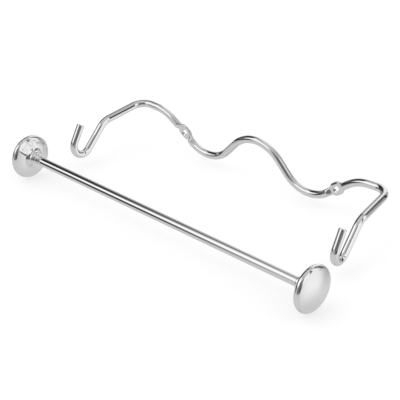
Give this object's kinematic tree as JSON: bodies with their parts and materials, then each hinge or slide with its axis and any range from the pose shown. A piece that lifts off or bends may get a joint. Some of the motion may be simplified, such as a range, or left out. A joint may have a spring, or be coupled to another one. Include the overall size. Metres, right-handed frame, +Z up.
{
  "type": "wall-mounted roll holder",
  "caption": "Bent-wire wall bracket with an open hook at each end, carrying a lift-out rod between domed screw-on finials, for a paper or fabric roll.",
  "frame": {"origin": "on the wall plane, midway between the two screw holes of the bracket", "axes": "+Z up, +Y into the wall, the room is on the -Y side, +X along the bracket towards its right hook as seen from the room"},
  "size_m": [0.3504, 0.1573, 0.0462],
  "materials": {
    "wire_chrome": "bright chrome plate on bent steel wire",
    "rod_chrome": "bright chrome plate on a drawn steel rod",
    "finial_chrome": "bright chrome plate on a turned casting",
    "stud_steel": "zinc-plated threaded steel"
  },
  "bodies": {
    "bracket": {"wire_bracket": "wire_chrome"},
    "rod": {"rod": "rod_chrome"},
    "left_ferrule": {"left_ferrule": "finial_chrome"},
    "left_finial": {"left_finial": "finial_chrome", "left_stud": "stud_steel"},
    "right_ferrule": {"right_ferrule": "finial_chrome"},
    "right_finial": {"right_finial": "finial_chrome", "right_stud": "stud_steel"}
  },
  "joints": [
    {"name": "rod_hang", "type": "hinge", "parent": "bracket", "child": "rod", "pos_m": [0, -0.10402, 0.02047], "axis": [-0.9997, 0.0174, -0.0165], "range_deg": [0, 266.7]},
    {"name": "left_draw", "type": "slide", "parent": "rod", "child": "left_ferrule", "axis": [-0.9994, 0.0349, 0], "range_m": [0, 0.0096]},
    {"name": "left_unscrew", "type": "hinge", "parent": "left_ferrule", "child": "left_finial", "pos_m": [-0.001, -0.1312, -0.0038], "axis": [-0.9994, 0.0349, 0], "range_deg": [0, 4320]},
    {"name": "right_draw", "type": "slide", "parent": "rod", "child": "right_ferrule", "axis": [0.9994, -0.0349, 0], "range_m": [0, 0.0096]},
    {"name": "right_unscrew", "type": "hinge", "parent": "right_ferrule", "child": "right_finial", "pos_m": [-0.001, -0.1312, -0.0038], "axis": [0.9994, -0.0349, 0], "range_deg": [0, 4320]}
  ],
  "couplings": [
    {"joint": "left_draw", "follows": "left_unscrew", "m_per_rad": 0.0001273},
    {"joint": "right_draw", "follows": "right_unscrew", "m_per_rad": 0.0001273}
  ]
}
